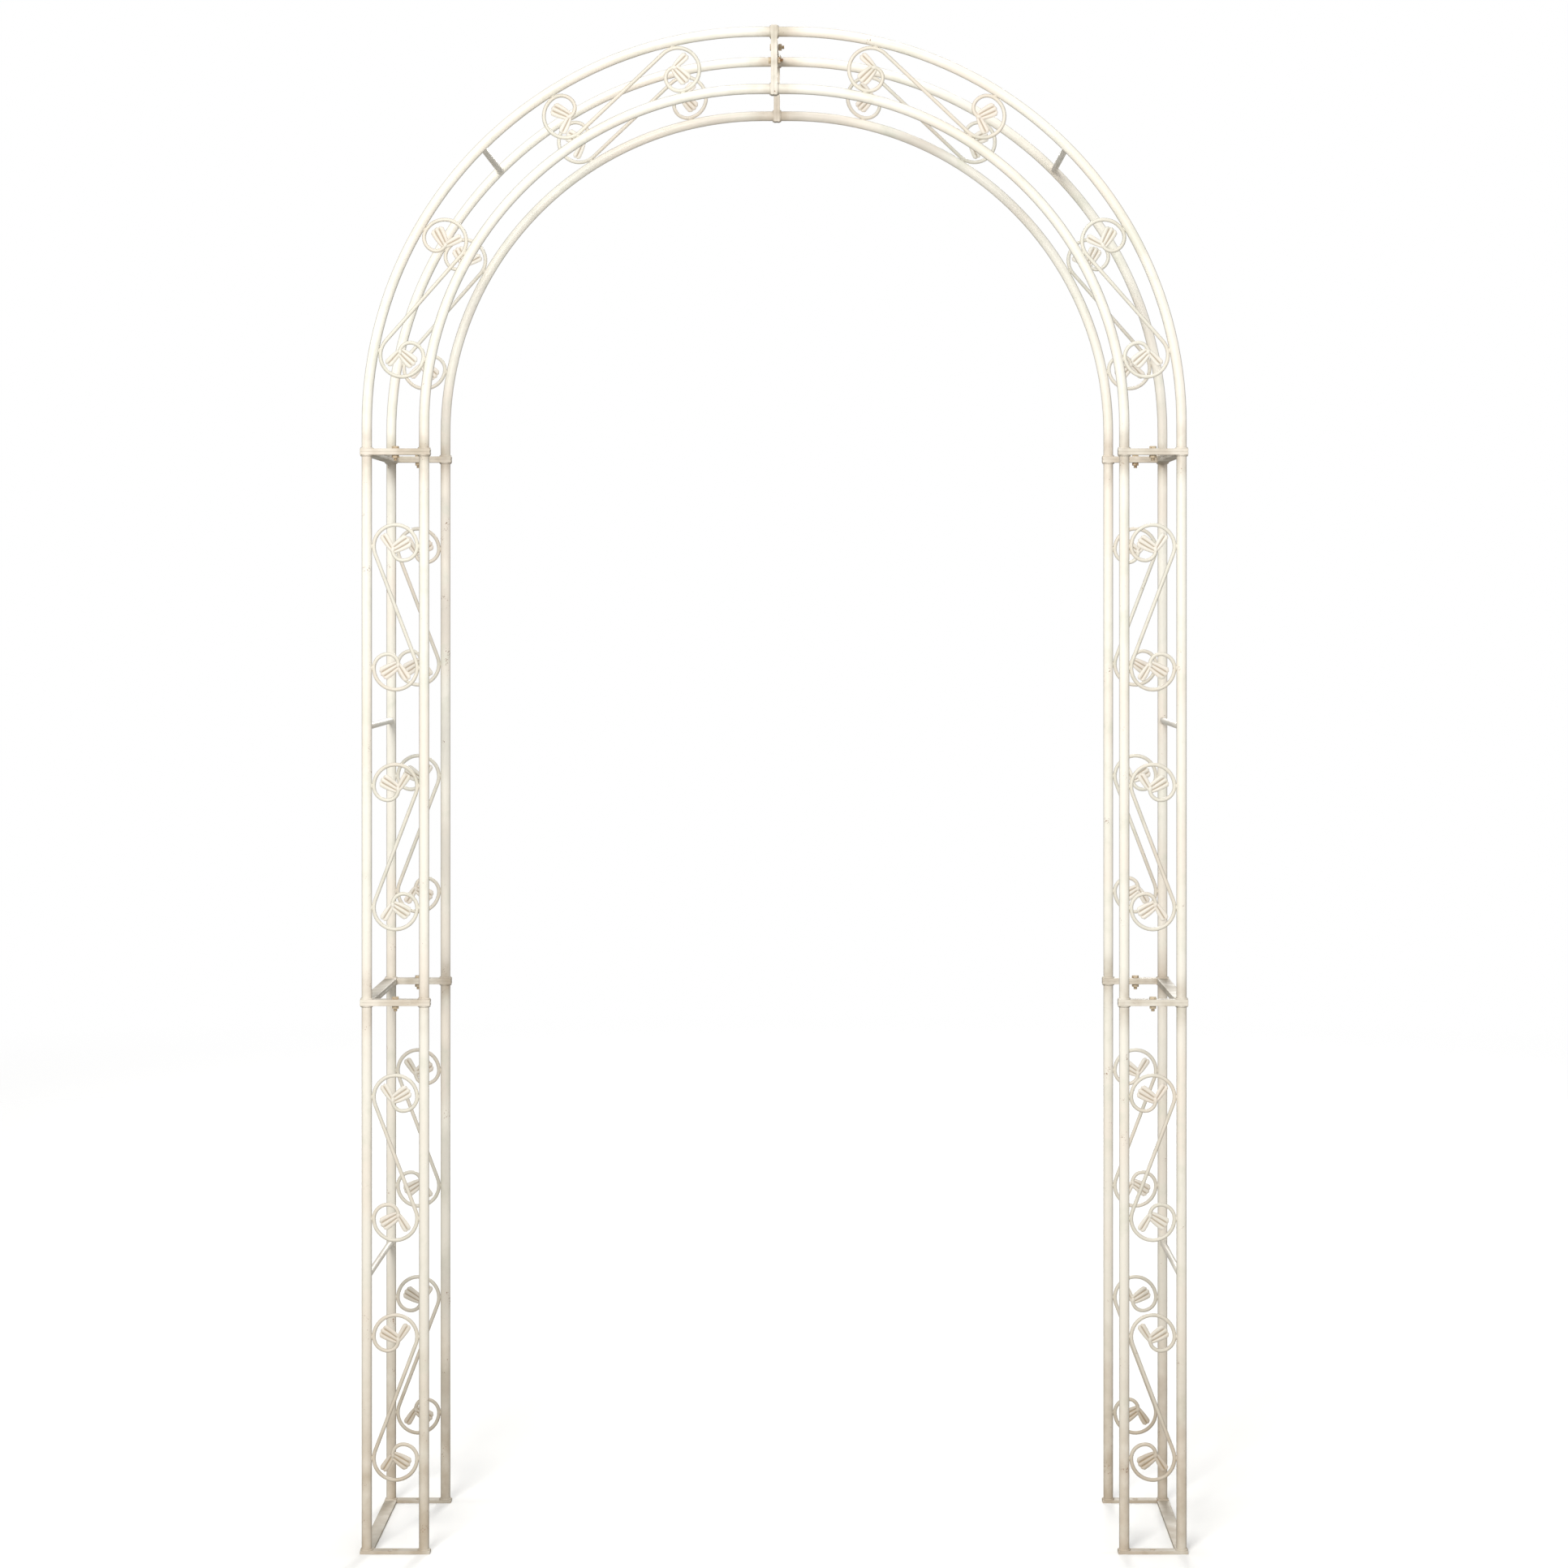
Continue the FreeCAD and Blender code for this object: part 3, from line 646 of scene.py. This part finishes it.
def seam_bead():
    """A run of weld across a bar, in overlapping steps, lying along X."""
    bead = add("circle", vertices=8, radius=BEAD_RADIUS, fill_type="NGON")
    bpy.ops.transform.rotate(value=math.pi / 2, orient_axis="Y", center_override=(0, 0, 0))
    bpy.ops.transform.translate(value=(-BAR_WIDTH / 2, 0, 0))
    stride = BAR_WIDTH / BEAD_STEPS
    for number in range(BEAD_STEPS):
        bpy.ops.mesh.extrude_region_move(TRANSFORM_OT_translate={"value": (stride, 0, 0)})
        swell = SWELL if number % 2 == 0 else PINCH
        middle = (-BAR_WIDTH / 2 + (number + 1) * stride, 0, 0)
        bpy.ops.transform.resize(value=(1, swell, swell), center_override=middle)
    bpy.ops.mesh.select_all(action="SELECT")
    bpy.ops.transform.resize(value=(1, 1, FLATTEN), center_override=(0, 0, 0))
    return close_up(bead)


seam = seam_bead()
print("a seam has", len(seam.data.polygons), "faces")

# %% A frame at the crown, and any other frame
ON_EDGE = Matrix.Rotation(math.pi / 2, 4, "Y")
SEAM_ENDS = (-OUTER_LENGTH / 2, OUTER_LENGTH / 2)


def crown_frame(low, high, way):
    """The bars and seams of a frame that stands on edge at the crown."""
    mid = (low + high) / 2
    outer_z = high.z - BAR_WIDTH / 2
    free = low.x if way < 0 else high.x
    bars = copies(cross_bar, [Matrix.Translation((mid.x, y, mid.z)) @ ON_EDGE for y in PANELS])
    bars += copies(crown_bar, [Matrix.Translation((mid.x, 0, outer_z)) @ ON_EDGE])
    seams = copies(seam, [Matrix.Translation((free, y, outer_z)) @ ON_EDGE for y in SEAM_ENDS])
    return bars, seams


def flat_frame(low, high, way, at_top):
    """The bars and seams of a frame that lies flat at the top or the bottom of a section."""
    mid = (low + high) / 2
    outer_x = low.x + BAR_WIDTH / 2 if way < 0 else high.x - BAR_WIDTH / 2
    free = low.z if at_top else high.z
    pattern = foot_bar if low.z < BAR_THICK / 2 else cross_bar
    bars = copies(pattern, [Matrix.Translation((mid.x, y, mid.z)) for y in PANELS])
    bars += copies(outer_bar, [Matrix.Translation((outer_x, 0, mid.z))])
    seams = copies(seam, [Matrix.Translation((outer_x, y, free)) for y in SEAM_ENDS])
    return bars, seams


print("a frame is", len(PANELS), "cross bars, an outer bar and", len(SEAM_ENDS), "seams")

# %% The bars of each section
for side, way in SIDES.items():
    for part in PARTS:
        bottom = f"{side}_{part}_bottom_frame"
        bars, seams = flat_frame(*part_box(bottom), way, at_top=False)
        if part in LEGS:
            top = f"{side}_{part}_top_frame"
            more_bars, more_seams = flat_frame(*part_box(top), way, at_top=True)
        else:
            top = f"{side}_{part}_crown_frame"
            more_bars, more_seams = crown_frame(*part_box(top), way)
        finish(bars + more_bars, f"{side}_{part}_flat_bars", "bar_paint", bottom, top)
        finish(seams + more_seams, f"{side}_{part}_bar_welds", "bar_paint", smooth=80)
put_away(cross_bar, foot_bar, outer_bar, crown_bar, seam)
print("bars and their welds stand in", len(SIDES) * len(PARTS), "sections")

# %% [markdown]
# ## Weld beads round the tubes
#
# A tube that stands on a bar is held by a fillet of weld all round its foot. Spinning a small
# round section about the tube's axis gives the ring, and pushing every few sections outwards
# gives the ripples that a welder leaves. A cross rod meets its tube on a curved surface, so
# its ring is bent to follow that surface: each section moves by the depth of the tube there.

# %% Ring patterns
RAIL_RIPPLES = 15
ROD_RIPPLES = 12
SECTIONS_A_RIPPLE = 3
RAIL_RING = TUBE + 0.0004
ROD_RING = ROD + 0.0003
RAIL_BEAD = 0.0015
ROD_BEAD = 0.0013
RIPPLE_OUT = 1.035
RIPPLE_UP = 1.25


def weld_ring(radius, bead, ripples):
    """A ring of weld about Z, resting on the plane z = 0."""
    ring = add("circle", vertices=7, radius=bead)
    bpy.ops.transform.rotate(value=math.pi / 2, orient_axis="X", center_override=(0, 0, 0))
    bpy.ops.transform.translate(value=(radius, 0, bead * 0.3))
    sections = ripples * SECTIONS_A_RIPPLE
    bpy.ops.mesh.spin(steps=sections, angle=math.tau, center=(0, 0, 0), axis=(0, 0, 1))
    close_up(ring)
    alone(ring)
    bpy.ops.object.mode_set(mode="EDIT")
    step = math.tau / ripples
    pick(ring, "verts", lambda at: abs(math.remainder(math.atan2(at.y, at.x), step)) < step / 12)
    bpy.ops.transform.resize(value=(RIPPLE_OUT, RIPPLE_OUT, RIPPLE_UP), center_override=(0, 0, 0))
    nothing_selected()
    return ring


rail_ring = weld_ring(RAIL_RING, RAIL_BEAD, RAIL_RIPPLES)
rod_ring = weld_ring(ROD_RING, ROD_BEAD, ROD_RIPPLES)
print("a rail's ring has", len(rail_ring.data.polygons), "faces")

# %% The rod's ring follows its tube
SECTIONS = ROD_RIPPLES * SECTIONS_A_RIPPLE
ONE_SECTION = 0.05


def in_section(at, angle):
    """Whether a point of a ring is in the section at an angle."""
    return abs(math.remainder(math.atan2(at.y, at.x) - angle, math.tau)) < ONE_SECTION


alone(rod_ring)
bpy.ops.object.mode_set(mode="EDIT")
for number in range(SECTIONS):
    angle = math.tau * number / SECTIONS
    pick(rod_ring, "verts", lambda at: in_section(at, angle))
    across = ROD_RING * math.cos(angle)
    bpy.ops.transform.translate(value=(0, 0, math.sqrt(TUBE ** 2 - across ** 2)))
nothing_selected()
print("a rod's ring is bent in", SECTIONS, "sections")

# %% Rings at the rails' ends and the rods' ends
HANGING = Matrix.Rotation(math.pi, 4, "X")
OUT_OF_TUBE = Matrix.Rotation(-math.pi / 2, 4, "X")


def rail_ends(number, part, way):
    """The places of the rings at both ends of a section's four rails."""
    places = []
    floor_z = number * SECTION + BAR_THICK
    for y in PANELS:
        for x in (OUTER_X, INNER_X):
            places.append(Matrix.Translation((way * x, y, floor_z)))
            if part in LEGS:
                top_z = (number + 1) * SECTION - BAR_THICK
                places.append(Matrix.Translation((way * x, y, top_z)) @ HANGING)
            else:
                top_z = BEND_MIDDLE.z + x - CROWN_RUN
                sideways = Matrix.Rotation(way * math.pi / 2, 4, "Y")
                places.append(Matrix.Translation((way * BAR_THICK, y, top_z)) @ sideways)
    return places


def rod_ends(rod, part, way):
    """The places of the rings at both ends of a section's cross rod."""
    low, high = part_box(rod)
    mid = (low + high) / 2
    lean = Matrix.Rotation(0 if part in LEGS else -way * math.pi / 4, 4, "Y")
    places = []
    for turn, y in zip((0, math.pi), PANELS):
        along_rail = lean @ Matrix.Rotation(turn, 4, "Z")
        places.append(Matrix.Translation((mid.x, y, mid.z)) @ along_rail @ OUT_OF_TUBE)
    return places


for side, way in SIDES.items():
    for number, part in enumerate(PARTS):
        rings = copies(rail_ring, rail_ends(number, part, way))
        rings += copies(rod_ring, rod_ends(f"{side}_{part}_cross_rod", part, way))
        finish(rings, f"{side}_{part}_rail_welds", "rail_paint", smooth=80)
put_away(rail_ring, rod_ring)
print("rings welded in", len(SIDES) * len(PARTS), "sections")

# %% [markdown]
# ## The scrolls' loops
#
# Every scroll has two loops. A loop has a middle, a way out of the scroll and a side to which
# its wire curls. From those three come the leaf at the end of the wire and the two small tack
# welds where the loop touches its rails.

# %% Loops of a section
SCROLL = 0.265
HOOP_MARGIN = 0.116
REACH = SCROLL / 2 - LOOP - WIRE
ACROSS = Vector((1, 0, 0))
UP = Vector((0, 0, 1))


def leg_loops(floor_z):
    """The loops of the two scrolls in a panel of the left leg."""
    gap = (SECTION - 2 * SCROLL) / 3
    inset = gap + SCROLL / 2
    found = []
    for height, side in ((floor_z + inset, -ACROSS), (floor_z + SECTION - inset, ACROSS)):
        middle = Vector((-MIDDLE_X, 0, height))
        found.append((middle - UP * REACH, -UP, -side))
        found.append((middle + UP * REACH, UP, side))
    return found


def hoop_loops():
    """The loops of the two scrolls in a panel of the left half of the hoop."""
    radius = MIDDLE_X - CROWN_RUN
    margin = HOOP_MARGIN + SCROLL / 2
    half = math.asin(REACH / radius)
    found = []
    for middle, inward in (((margin - FOOT_RUN) / radius, -1),
                           (math.pi / 2 - (margin - CROWN_RUN) / radius, 1)):
        for end in (-1, 1):
            angle = middle + end * half
            radial = Vector((-math.cos(angle), 0, math.sin(angle)))
            along = Vector((math.sin(angle), 0, math.cos(angle)))
            found.append((BEND_MIDDLE + radial * radius, along * end, -radial * inward * end))
    return found


LOOPS = {"lower_leg": leg_loops(0), "upper_leg": leg_loops(SECTION), "hoop": hoop_loops()}
print("loops in a panel:", {name: len(found) for name, found in LOOPS.items()})

# %% Places in the panels
def frame_of(across, through, out, at):
    """A place whose X, Y and Z axes are the three directions given."""
    rows = [(across[i], through[i], out[i], at[i]) for i in range(3)]
    return Matrix((*rows, (0, 0, 0, 1)))


def panel_places(side, places):
    """Places in a left panel, repeated on the front and back faces of one side of the arch."""
    faces = [Matrix.Translation((0, y, 0)) @ HALF_TURN[side] for y in PANELS]
    return [face @ place for face in faces for place in places]


print("a place in one panel stands for", len(SIDES) * len(PANELS), "on the arch")

# %% [markdown]
# ## Leaves
#
# A leaf is stamped hot between two dies: two wings in a V, the broad one with three ribs and
# the narrow one with two, and the ribs stand out on both faces. So a wing starts as a sheet,
# narrow at the stem, that is extruded row by row and spread as it goes. Its columns rise to
# make the ribs of one face. The sheet is then extruded as a whole and its copy turned over,
# which gives the other face, and a subdivision rounds everything, as thick paint does. The
# columns between the ribs are remembered in an attribute, because that is where dirt stays.

# %% A wing's outline
WING_ROWS = (  # share of the length, share of the width
    (0.0, 0.56), (0.10, 0.66), (0.28, 0.79), (0.48, 0.90), (0.68, 0.97), (0.86, 1.0), (1.0, 0.93))


def half_width(height, length, width):
    """Half the width of a wing at a height."""
    share = min(max(height / length, 0.0), 1.0)
    for (before, was), (after, now) in zip(WING_ROWS, WING_ROWS[1:]):
        if share <= after + 1e-6:
            return width / 2 * (was + (now - was) * (share - before) / (after - before))
    return width / 2 * WING_ROWS[-1][1]


def wing_sheet(length, width, columns):
    """A flat sheet with a wing's outline, standing on the origin along +Z."""
    sheet = add("grid", x_subdivisions=columns, y_subdivisions=1, size=1)
    bpy.ops.transform.rotate(value=math.pi / 2, orient_axis="X", center_override=(0, 0, 0))
    bpy.ops.transform.translate(value=(0, 0, 0.5))
    stem = WING_ROWS[0][1]
    first, next_up = WING_ROWS[1]
    first_row = first * length
    bpy.ops.transform.resize(value=(stem * width, 1, first_row), center_override=(0, 0, 0))
    pick(sheet, "verts", lambda at: at.z > first_row / 2)
    bpy.ops.transform.resize(value=(next_up / stem, 1, 1), center_override=(0, 0, 0))
    for (before, was), (after, now) in zip(WING_ROWS[1:], WING_ROWS[2:]):
        pick(sheet, "edges", lambda at: at.z > before * length - 0.00001)
        bpy.ops.mesh.extrude_region_move(
            TRANSFORM_OT_translate={"value": (0, 0, (after - before) * length)})
        bpy.ops.transform.resize(value=(now / was, 1, 1), center_override=(0, 0, 0))
    return sheet


print("a wing's outline has", len(WING_ROWS), "rows")

# %% One wing
RIB = (0.12, 0.75, 1.0, 0.75)
TIP_ROUNDING = 0.16
RIB_OVERHANG = 0.0014


def wing(length, width, ribs, depth):
    """A ribbed wing that stands on the origin along +Z, its ribs pressed along Y."""
    columns = len(RIB) * ribs
    sheet = wing_sheet(length, width, columns)

    def across(at):
        """How far across the wing a point is, from -1 to 1."""
        return at.x / half_width(at.z, length, width)

    for column in range(columns + 1):
        place = 2 * column / columns - 1

        def in_column(at):
            """Whether a point is in this column."""
            return abs(across(at) - place) < 0.6 / columns

        rise = RIB[column % len(RIB)] * depth
        pick(sheet, "verts", in_column)
        bpy.ops.transform.translate(value=(0, -rise, 0))
        on_crest = column % len(RIB) == len(RIB) // 2
        round_end = -TIP_ROUNDING * width * place * place + (RIB_OVERHANG if on_crest else 0.0)
        pick(sheet, "verts", lambda at: at.z > length * 0.99 and in_column(at))
        bpy.ops.transform.translate(value=(0, 0, round_end))
    bpy.ops.mesh.select_all(action="SELECT")
    bpy.ops.mesh.extrude_region_move()
    bpy.ops.transform.resize(value=(1, -1, 1), center_override=(0, 0, 0))
    close_up(sheet)
    groove = sheet.data.attributes.new("groove", "FLOAT", "POINT")
    for vertex in sheet.data.vertices:
        column = round((across(vertex.co) + 1) / 2 * columns)
        inside = 0 < column < columns and column % len(RIB) == 0 and vertex.co.z < length * 0.9
        groove.data[vertex.index].value = 1.0 if inside else 0.0
    modify(sheet, "SUBSURF", levels=1, render_levels=1)
    return sheet


broad_wing = wing(length=0.0315, width=0.0225, ribs=3, depth=0.0021)
narrow_wing = wing(length=0.029, width=0.0140, ribs=2, depth=0.0019)
print("wings have", len(broad_wing.data.polygons), "and", len(narrow_wing.data.polygons), "faces")

# %% The leaf: two wings and the knuckle of weld that holds them
BROAD_LEAN = 58
NARROW_LEAN = -32
KNUCKLE = 0.0038

broad_wing.matrix_world = Matrix.Rotation(math.radians(BROAD_LEAN), 4, "Y")
narrow_wing.matrix_world = Matrix.Rotation(math.radians(NARROW_LEAN), 4, "Y")
knuckle = add("uv_sphere", segments=16, ring_count=10, radius=KNUCKLE)
bpy.ops.transform.resize(value=(1.0, 0.85, 1.15), center_override=(0, 0, 0))
pick(knuckle, "verts", lambda at: at.z > 0.001)
bpy.ops.transform.translate(value=(0.0008, 0, 0.0012))
nothing_selected()
leaf = join([broad_wing, narrow_wing, knuckle])
print("a leaf has", len(leaf.data.polygons), "faces")

# %% The tack: a small weld that is drawn out along its rail
TACK_SIZE = (0.0022, 0.0031, 0.0046)
TACK_WAIST = 0.0012

tack = add("ico_sphere", subdivisions=2, radius=1)
bpy.ops.transform.resize(value=TACK_SIZE, center_override=(0, 0, 0))
pick(tack, "verts", lambda at: abs(at.z) < TACK_WAIST)
bpy.ops.transform.resize(value=(1.15, 1.12, 1), center_override=(0, 0, 0))
nothing_selected()
print("a tack has", len(tack.data.polygons), "faces")

# %% Leaves and tacks of every section
CURL_STEP = 0.012
TIP_STEP = 0.0055
TIP_BEND = LOOP - CURL_STEP - TIP_STEP

for side in SIDES:
    for part, loops in LOOPS.items():
        leaf_places = []
        tack_places = []
        for middle, out, curl in loops:
            through = out.cross(curl)
            tip = middle + curl * (CURL_STEP - TIP_BEND) - out * TIP_STEP
            leaf_places.append(frame_of(curl, through, out, tip))
            for end in (-1, 1):
                tack_places.append(frame_of(curl, through, out, middle + curl * end * (LOOP + WIRE)))
        finish(copies(leaf, panel_places(side, leaf_places)), f"{side}_{part}_pressed_leaves",
               "leaf_paint", f"{side}_{part}_leaves", smooth=60)
        finish(copies(tack, panel_places(side, tack_places)), f"{side}_{part}_scroll_tacks",
               "wire_paint", smooth=80)
put_away(leaf, tack)
print("leaves and tacks in", len(SIDES) * len(LOOPS), "sections")

# %% [markdown]
# ## Bolts and nuts
#
# A hexagon bolt is three simple shapes: a six-sided blank, the cone that turns its corners
# off, and a turned shank. The blank and the cone are crossed with a Boolean, which leaves the
# curved corners that every real bolt head has. It also leaves doubled points, which a Bevel
# would fold over each other, so they are merged before the edges are rounded. The shank is a
# profile of one line, extruded point by point in and out of the thread, and spun once round.
# A line like that is drawn in the vertex mode: in the face mode, a lone point can't be picked.

# %% Head and nut
FLATS = 0.010
HEAD = 0.004
NUT = 0.005
SHANK = 0.003
CORNER_CUT = 0.0008
HEAD_ROUNDING = 0.00025


def hexagon(height, both_ends, hole=0.0):
    """A six-sided blank that stands on z = 0, its far corners turned off, with or without a hole."""
    corner = FLATS / math.sqrt(3)
    blank = add("cylinder", vertices=6, radius=corner, depth=height)
    bpy.ops.transform.translate(value=(0, 0, height / 2))
    turned = add("cylinder", vertices=60, radius=corner + 0.00001, depth=height)
    bpy.ops.transform.translate(value=(0, 0, height / 2))
    pick(turned, "faces", lambda at: at.z > height * 0.99 or (both_ends and at.z < height * 0.01))
    bpy.ops.mesh.bevel(offset=CORNER_CUT, segments=1, affect="EDGES")
    nothing_selected()
    modify(blank, "BOOLEAN", operation="INTERSECT", object=turned, solver="EXACT")
    put_away(turned)
    bpy.ops.object.mode_set(mode="EDIT")
    close_up(blank)
    if hole:
        drilled(blank, hole)
    modify(blank, "BEVEL", width=HEAD_ROUNDING, segments=2, limit_method="ANGLE",
           angle_limit=math.radians(25))
    return blank


head = hexagon(HEAD, both_ends=False)
nut = hexagon(NUT, both_ends=True, hole=SHANK)
print("head", len(head.data.polygons), "faces, nut", len(nut.data.polygons), "faces")

# %% Shank
SPARE = 0.004
THREAD_TURNS = 5
PITCH = 0.0007
THREAD_ROOT = SHANK * 0.84
SHANK_END = SHANK * 0.8


def turned_shank():
    """The bolt's shank below z = 0: a plain part, then thread, then a chamfered end."""
    length = 2 * BAR_THICK + NUT + SPARE
    shank = add("plane", size=0.001)
    bpy.ops.mesh.select_mode(type="VERT")
    bpy.ops.mesh.merge(type="CENTER")
    at = Vector((0, 0, 0))
    thread_top = -2 * BAR_THICK - NUT
    profile = [(SHANK, 0.0), (SHANK, thread_top)]
    for turn in range(THREAD_TURNS):
        z = thread_top - turn * PITCH
        profile += [(THREAD_ROOT, z - PITCH / 2), (SHANK, z - PITCH)]
    profile += [(SHANK_END, -length), (0.0, -length)]
    for radius, z in profile:
        goal = Vector((radius, 0, z))
        bpy.ops.mesh.extrude_vertices_move(TRANSFORM_OT_translate={"value": goal - at})
        at = goal
    bpy.ops.mesh.select_all(action="SELECT")
    bpy.ops.mesh.spin(steps=28, angle=math.tau, center=(0, 0, 0), axis=(0, 0, 1))
    return close_up(shank)


bolt = join([head, turned_shank()])
print("a bolt has", len(bolt.data.polygons), "faces")

# %% Where the bolts go
SPANNER_TURN = 17
CROWN_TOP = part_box("left_hoop_crown_frame")[1].z - BAR_WIDTH / 2

joints = []
for way in SIDES.values():
    for level in (LOWER_JOINT, UPPER_JOINT):
        for y in PANELS:
            joints.append((Vector((way * MIDDLE_X, y, level)), UP))
for y in PANELS:
    joints.append((Vector((0, y, CROWN_TOP - (OUTER_X - INNER_X) / 2)), -ACROSS))
joints.append((Vector((0, 0, CROWN_TOP)), -ACROSS))


def on_bar(at, facing, turn):
    """The place of a head or nut that stands on a bar and faces away from it."""
    lean = facing.to_track_quat("Z", "Y").to_matrix().to_4x4()
    return Matrix.Translation(at + facing * BAR_THICK) @ lean @ turn


bolt_places = []
nut_places = []
for number, (at, facing) in enumerate(joints):
    turn = Matrix.Rotation(math.radians(SPANNER_TURN * number), 4, "Z")
    bolt_places.append(on_bar(at, facing, turn))
    nut_places.append(on_bar(at, -facing, turn))
finish(copies(bolt, bolt_places), "hexagon_bolts", "bolt_paint", "joint_bolts", smooth=30)
finish(copies(nut, nut_places), "hexagon_nuts", "bolt_paint", "joint_nuts", smooth=30)
put_away(bolt, nut)
print(len(joints), "bolts with their nuts")
